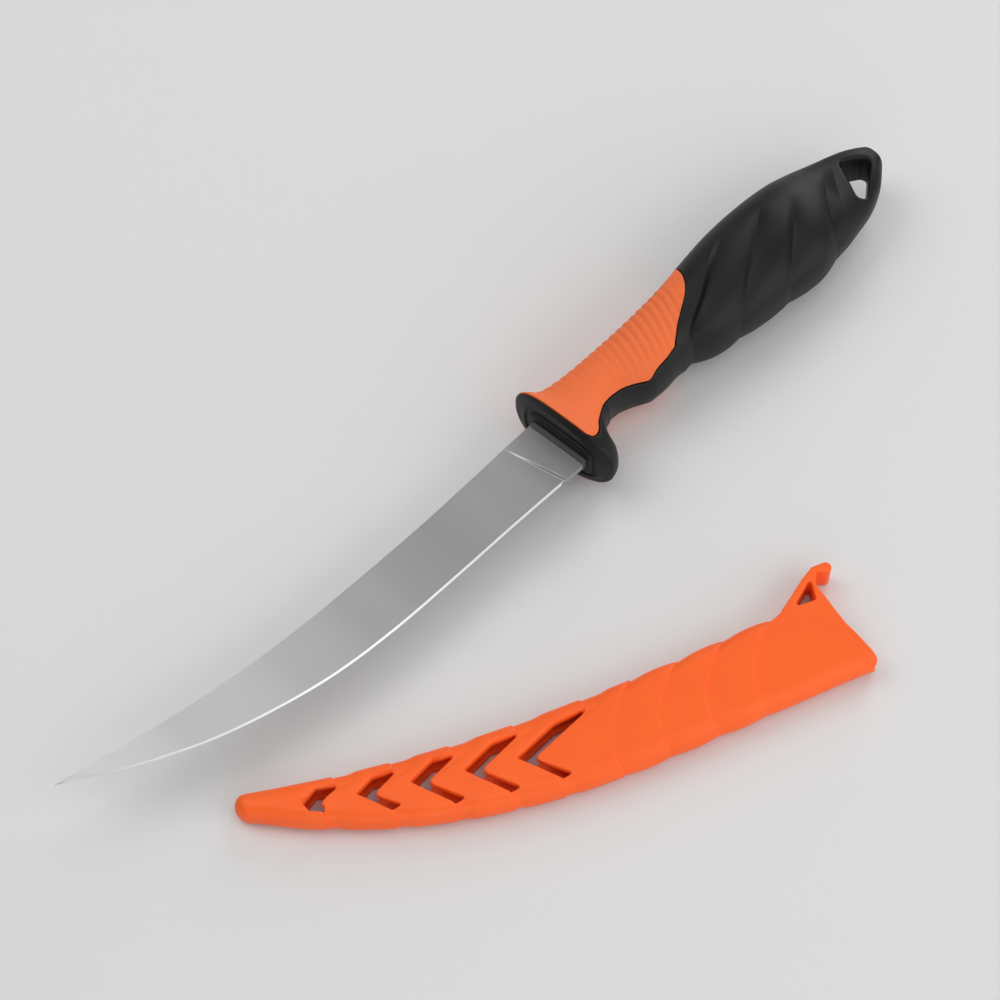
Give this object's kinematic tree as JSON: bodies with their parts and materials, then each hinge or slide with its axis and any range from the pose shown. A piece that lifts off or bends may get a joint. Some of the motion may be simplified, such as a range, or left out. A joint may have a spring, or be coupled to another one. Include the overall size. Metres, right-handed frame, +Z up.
{
  "type": "fillet knife with sheath",
  "caption": "Curved fishing fillet knife with a ribbed two-tone handle and lanyard hole, beside its slotted sheath with a latch hook.",
  "frame": {"origin": "middle of the floor area that the knife and its sheath cover together, on the floor that both lie on", "axes": "+X along the sheath from its point to its mouth, +Z up; the knife lies on its side beyond the sheath, turned from it about +Z, with its blade's point near the sheath's point"},
  "size_m": [0.2802, 0.165, 0.0252],
  "materials": {
    "blade_steel": "satin-ground stainless steel with a bright cutting bevel",
    "core_plastic": "dark grey moulded plastic",
    "black_rubber": "satin black soft-touch overmould",
    "orange_rubber": "matt orange soft grip with fine cross ribs",
    "orange_plastic": "satin orange injection-moulded plastic"
  },
  "bodies": {
    "knife": {"blade": "blade_steel", "core": "core_plastic", "overmould": "black_rubber", "grip": "orange_rubber"},
    "sheath": {"sheath": "orange_plastic"}
  },
  "joints": [
    {"name": "draw", "type": "slide", "parent": "knife", "child": "sheath", "axis": [-1, 0, 0], "range_m": [0, 0.168]}
  ]
}
